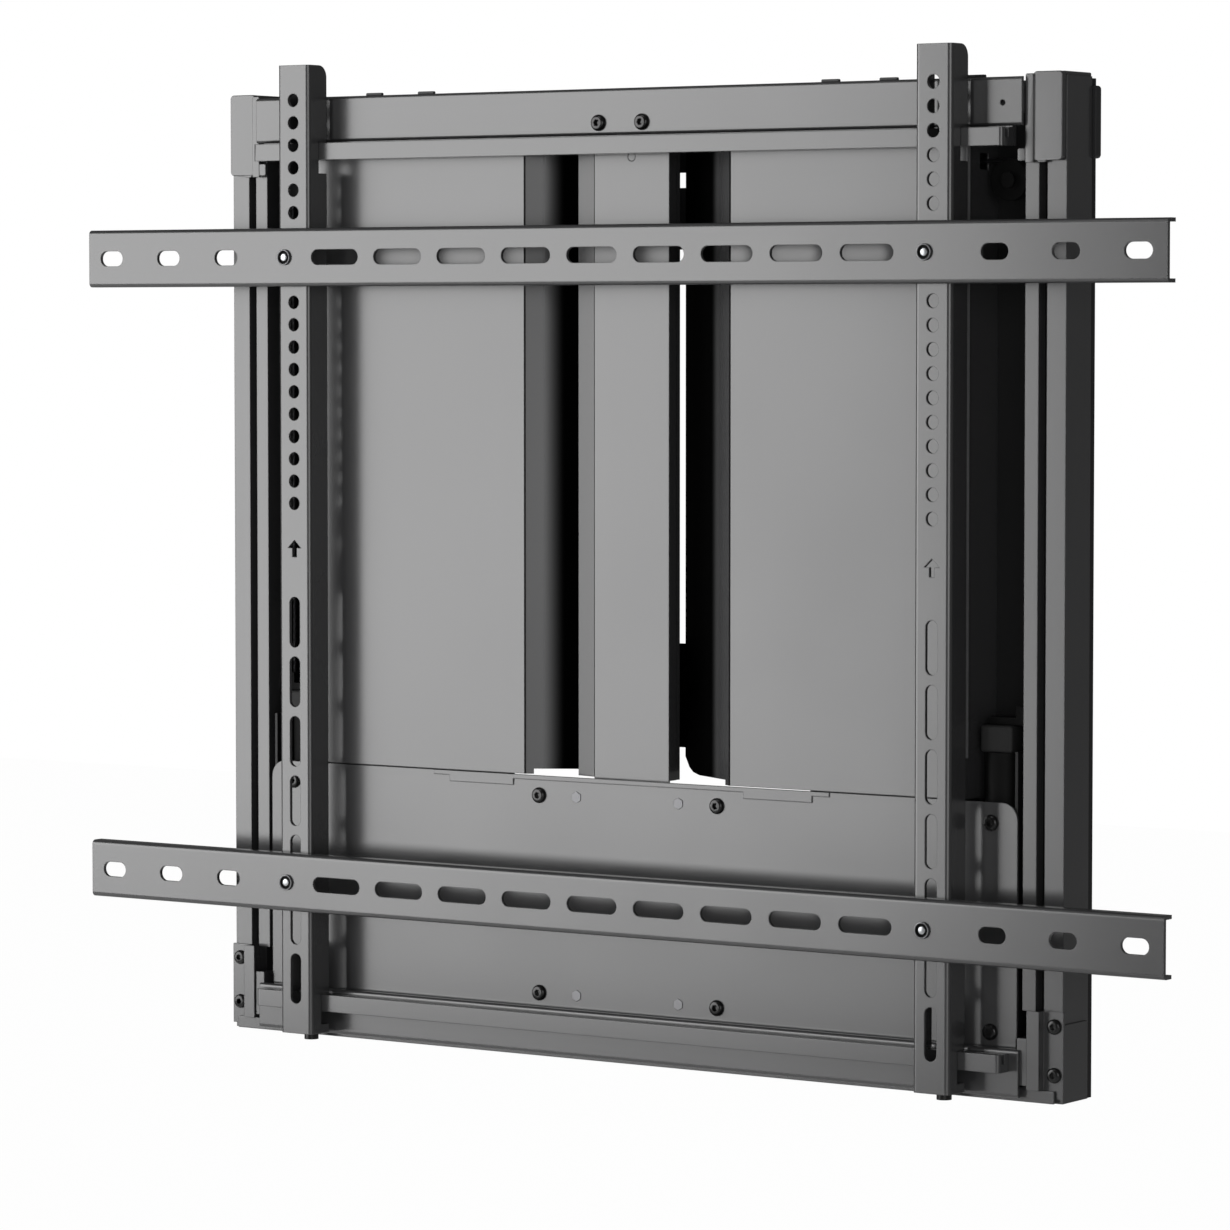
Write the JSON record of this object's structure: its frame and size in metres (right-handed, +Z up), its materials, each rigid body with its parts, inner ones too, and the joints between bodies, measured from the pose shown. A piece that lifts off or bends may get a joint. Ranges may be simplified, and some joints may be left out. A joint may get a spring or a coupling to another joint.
{
  "type": "height adjustable wall mount for a large flat screen",
  "caption": "Wall unit with a spring balanced lifting carriage, hook bars, two hooked vertical brackets and two slotted rails for a flat screen.",
  "frame": {"origin": "middle of the four wall bolts, on the wall face of the wall plate", "axes": "+Z up, +X to the right of someone who looks at the screen, +Y into the wall, so the screen side faces -Y"},
  "size_m": [0.84, 0.0815, 0.6573],
  "materials": {
    "steel_coat": "satin black powder coat",
    "inner_coat": "matt black coat of the inner steel pieces",
    "black_plastic": "moulded black plastic",
    "black_screw": "black oxide screws",
    "bright_steel": "zinc plated steel",
    "buffer_rubber": "black rubber"
  },
  "bodies": {
    "wall_unit": {"back_plate": "inner_coat", "upright_left": "steel_coat", "upright_right": "steel_coat", "glide_left": "black_plastic", "glide_right": "black_plastic", "cover_left": "steel_coat", "cover_right": "steel_coat", "column_cover": "steel_coat", "lower_plate": "steel_coat", "clinch_nuts": "bright_steel", "plate_screws": "black_screw", "corner_bracket_left": "steel_coat", "corner_bracket_right": "steel_coat", "corner_screws": "black_screw", "top_cap_left": "steel_coat", "top_cap_right": "steel_coat", "wall_hook_ends": "black_plastic", "side_bracket_left": "inner_coat", "side_bracket_right": "inner_coat", "stop_post_left": "inner_coat", "stop_post_right": "inner_coat", "buffer_left": "buffer_rubber", "buffer_right": "buffer_rubber", "spindle_beam": "inner_coat", "spindle_foot": "inner_coat", "springs_left": "bright_steel", "springs_right": "bright_steel", "pulley_axles": "inner_coat", "lift_cable_left": "bright_steel", "lift_cable_right": "bright_steel", "top_cable_left": "bright_steel", "top_cable_right": "bright_steel", "pull_cable_left": "bright_steel", "pull_cable_right": "bright_steel"},
    "carriage": {"slide_left": "steel_coat", "slide_right": "steel_coat", "top_channel": "steel_coat", "top_bar": "steel_coat", "low_channel": "steel_coat", "low_bar": "steel_coat", "channel_screws": "black_screw", "channel_plugs": "black_plastic"},
    "screen_frame": {"bracket_left": "steel_coat", "bracket_right": "steel_coat", "top_rail": "steel_coat", "low_rail": "steel_coat", "rail_screws": "bright_steel"},
    "lock_left": {"lock_screw_left": "black_screw"},
    "lock_right": {"lock_screw_right": "black_screw"},
    "spindle": {"spindle": "bright_steel"},
    "crosshead": {"crosshead": "inner_coat"},
    "pull_left": {"pull_block_left": "inner_coat"},
    "pull_right": {"pull_block_right": "inner_coat"},
    "outer_pulley_left": {"outer_pulley_left": "black_plastic"},
    "outer_pulley_right": {"outer_pulley_right": "black_plastic"},
    "inner_pulley_left": {"inner_pulley_left": "black_plastic"},
    "inner_pulley_right": {"inner_pulley_right": "black_plastic"},
    "pull_pulley_left": {"pull_pulley_left": "black_plastic"},
    "pull_pulley_right": {"pull_pulley_right": "black_plastic"}
  },
  "joints": [
    {"name": "lift", "type": "slide", "parent": "wall_unit", "child": "carriage", "axis": [0, 0, 1], "range_m": [0, 0.3], "deforming": ["lift_cable_left", "lift_cable_right"]},
    {"name": "sideways_shift", "type": "slide", "parent": "carriage", "child": "screen_frame", "axis": [1, 0, 0], "range_m": [-0.025, 0.025]},
    {"name": "lock_turn_left", "type": "hinge", "parent": "screen_frame", "child": "lock_left", "pos_m": [-0.25, -0.053, -0.31], "axis": [0, 0, 1], "range_deg": [0, 1080]},
    {"name": "lock_turn_right", "type": "hinge", "parent": "screen_frame", "child": "lock_right", "pos_m": [0.25, -0.053, -0.31], "axis": [0, 0, 1], "range_deg": [0, 1080]},
    {"name": "spindle_turn", "type": "hinge", "parent": "wall_unit", "child": "spindle", "pos_m": [0, -0.015, 0], "axis": [0, 0, 1], "range_deg": [0, 3600]},
    {"name": "crosshead_travel", "type": "slide", "parent": "wall_unit", "child": "crosshead", "axis": [0, 0, 1], "range_m": [-0.04, 0]},
    {"name": "spring_travel_left", "type": "slide", "parent": "wall_unit", "child": "pull_left", "axis": [0, 0, 1], "range_m": [-0.15, 0], "deforming": ["springs_left", "pull_cable_left"]},
    {"name": "outer_pulley_turn_left", "type": "hinge", "parent": "wall_unit", "child": "outer_pulley_left", "pos_m": [-0.277, -0.02, 0.255], "axis": [0, 1, 0], "range_deg": [-1440, 1440]},
    {"name": "inner_pulley_turn_left", "type": "hinge", "parent": "wall_unit", "child": "inner_pulley_left", "pos_m": [-0.199, -0.02, 0.255], "axis": [0, 1, 0], "range_deg": [-1440, 1440]},
    {"name": "pull_pulley_turn_left", "type": "hinge", "parent": "pull_left", "child": "pull_pulley_left", "pos_m": [-0.175, -0.02, 0.19], "axis": [0, 1, 0], "range_deg": [-720, 720]},
    {"name": "spring_travel_right", "type": "slide", "parent": "wall_unit", "child": "pull_right", "axis": [0, 0, 1], "range_m": [-0.15, 0], "deforming": ["springs_right", "pull_cable_right"]},
    {"name": "outer_pulley_turn_right", "type": "hinge", "parent": "wall_unit", "child": "outer_pulley_right", "pos_m": [0.277, -0.02, 0.255], "axis": [0, 1, 0], "range_deg": [-1440, 1440]},
    {"name": "inner_pulley_turn_right", "type": "hinge", "parent": "wall_unit", "child": "inner_pulley_right", "pos_m": [0.199, -0.02, 0.255], "axis": [0, 1, 0], "range_deg": [-1440, 1440]},
    {"name": "pull_pulley_turn_right", "type": "hinge", "parent": "pull_right", "child": "pull_pulley_right", "pos_m": [0.175, -0.02, 0.19], "axis": [0, 1, 0], "range_deg": [-720, 720]}
  ],
  "couplings": [
    {"joint": "spindle_turn", "follows": "crosshead_travel", "rad_per_m": -1570.8},
    {"joint": "spring_travel_left", "follows": "lift", "ratio": -0.5},
    {"joint": "outer_pulley_turn_left", "follows": "lift", "rad_per_m": 83.333},
    {"joint": "inner_pulley_turn_left", "follows": "lift", "rad_per_m": 83.333},
    {"joint": "pull_pulley_turn_left", "follows": "lift", "rad_per_m": -41.667},
    {"joint": "spring_travel_right", "follows": "lift", "ratio": -0.5},
    {"joint": "outer_pulley_turn_right", "follows": "lift", "rad_per_m": -83.333},
    {"joint": "inner_pulley_turn_right", "follows": "lift", "rad_per_m": -83.333},
    {"joint": "pull_pulley_turn_right", "follows": "lift", "rad_per_m": 41.667}
  ]
}
